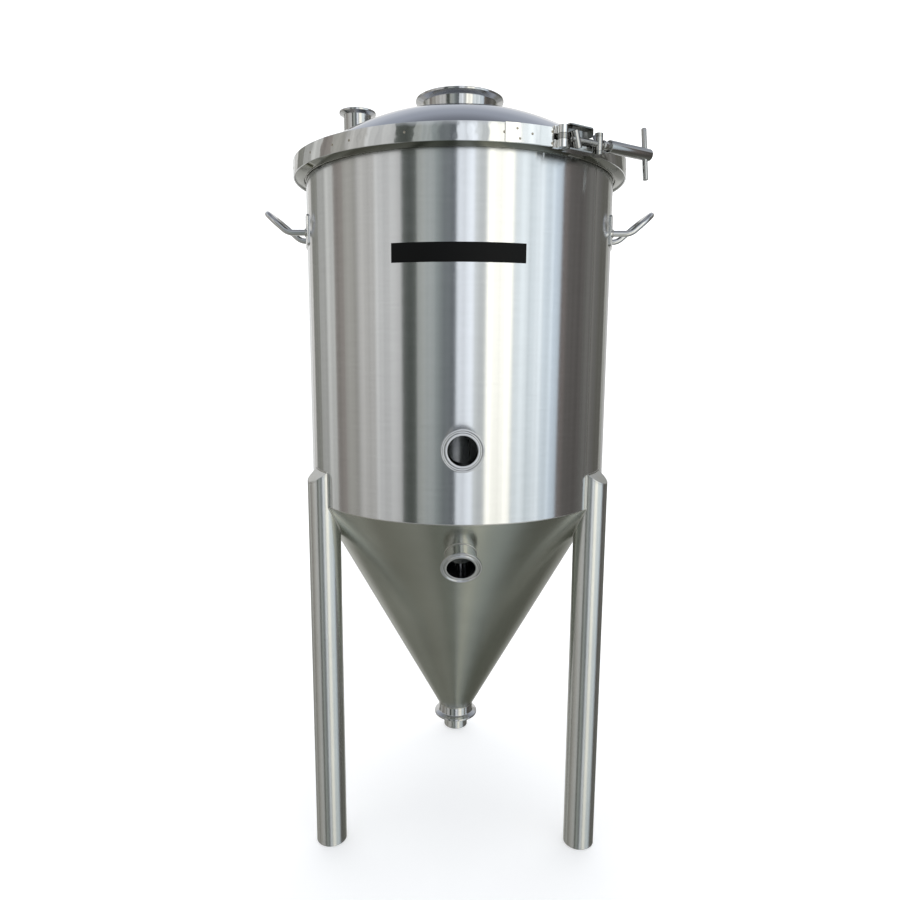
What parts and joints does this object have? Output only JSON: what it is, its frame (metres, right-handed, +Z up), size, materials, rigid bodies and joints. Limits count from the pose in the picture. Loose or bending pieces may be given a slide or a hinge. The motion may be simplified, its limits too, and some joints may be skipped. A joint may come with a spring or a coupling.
{
  "type": "conical fermenter",
  "caption": "Stainless conical fermenter on tube legs, with a domed lid under a V-band that a T-bolt clamp with a tee handle draws tight, and ferrule ports for fittings.",
  "frame": {"origin": "centre of the bottom outlet's flange face, on the tank's axis", "axes": "+Z up along the tank's axis to the lid's centre port; -Y to the front, between the two front legs; +X to the right seen from the front"},
  "size_m": [0.5306, 0.4551, 1.029],
  "materials": {
    "tank_steel": "brushed round the tank",
    "rim_steel": "satin",
    "cone_steel": "satin",
    "dome_steel": "polished",
    "ferrule_steel": "turned, polished",
    "leg_steel": "satin tube",
    "grip_steel": "polished rod",
    "band_steel": "polished strip",
    "retainer_steel": "rolled sheet",
    "clamp_steel": "pressed sheet",
    "bolt_steel": "turned bar",
    "handle_steel": "polished bar",
    "gasket_silicone": "soft, translucent white",
    "label_black": "printed plate, left blank"
  },
  "bodies": {
    "tank": {"tank_shell_front": "tank_steel", "tank_shell": "tank_steel", "tank_rim_flange": "rim_steel", "cone": "cone_steel", "outlet_ferrule": "ferrule_steel", "front_port_ferrule": "ferrule_steel", "racking_port_ferrule": "ferrule_steel", "leg_left": "leg_steel", "leg_right": "leg_steel", "leg_rear": "leg_steel", "leg_cap_left": "leg_steel", "leg_cap_right": "leg_steel", "leg_cap_rear": "leg_steel", "foot_plate_left": "leg_steel", "foot_plate_right": "leg_steel", "foot_plate_rear": "leg_steel", "handle_pad_left": "grip_steel", "handle_pad_right": "grip_steel", "handle_rod_left": "grip_steel", "handle_rod_right": "grip_steel", "blank_label": "label_black", "lid_gasket": "gasket_silicone", "band_strap_left": "band_steel", "retainer_left_front": "retainer_steel", "retainer_left_rear": "retainer_steel", "loop_plate_left": "clamp_steel", "latch_pin": "clamp_steel", "hinge_plate_left": "clamp_steel", "hinge_pin": "clamp_steel"},
    "lid": {"lid_rim": "rim_steel", "lid_dome": "dome_steel", "lid_centre_ferrule": "ferrule_steel", "lid_side_ferrule": "ferrule_steel"},
    "band_right": {"band_strap_right": "band_steel", "retainer_right_front": "retainer_steel", "retainer_right_rear": "retainer_steel", "loop_plate_right": "clamp_steel", "hinge_plate_right": "clamp_steel"},
    "latch": {"latch_channel": "clamp_steel"},
    "trunnion": {"trunnion_pin": "bolt_steel"},
    "t_bolt": {"bolt_shank": "bolt_steel", "bolt_barrel": "bolt_steel"},
    "handle": {"handle_nut": "bolt_steel", "handle_sleeve": "handle_steel", "tee_bar": "handle_steel"}
  },
  "joints": [
    {"name": "lid_turn", "type": "hinge", "parent": "tank", "child": "lid", "pos_m": [0, 0, 0.79], "axis": [0, 0, 1], "continuous": true},
    {"name": "band_open", "type": "hinge", "parent": "tank", "child": "band_right", "pos_m": [-0.13548, 0.18648, 0.78875], "axis": [0, 0, 1], "range_deg": [0, 0.8]},
    {"name": "latch_swing", "type": "hinge", "parent": "tank", "child": "latch", "pos_m": [0.11279, -0.20192, 0.7885], "axis": [0, 0, 1], "range_deg": [0, 3]},
    {"name": "bolt_swing", "type": "hinge", "parent": "band_right", "child": "trunnion", "pos_m": [0.15761, -0.1718, 0.7885], "axis": [0, 0, 1], "range_deg": [0, 16]},
    {"name": "handle_turn", "type": "hinge", "parent": "trunnion", "child": "handle", "pos_m": [0.16591, -0.16622, 0.7885], "axis": [-0.83, -0.5577, 0], "range_deg": [-2160, 2160]},
    {"name": "bolt_draw", "type": "slide", "parent": "trunnion", "child": "t_bolt", "axis": [0.83, 0.5577, 0], "range_m": [-0.0061, 0.0061]}
  ],
  "couplings": [
    {"joint": "bolt_draw", "follows": "handle_turn", "m_per_rad": 0.00015915}
  ]
}
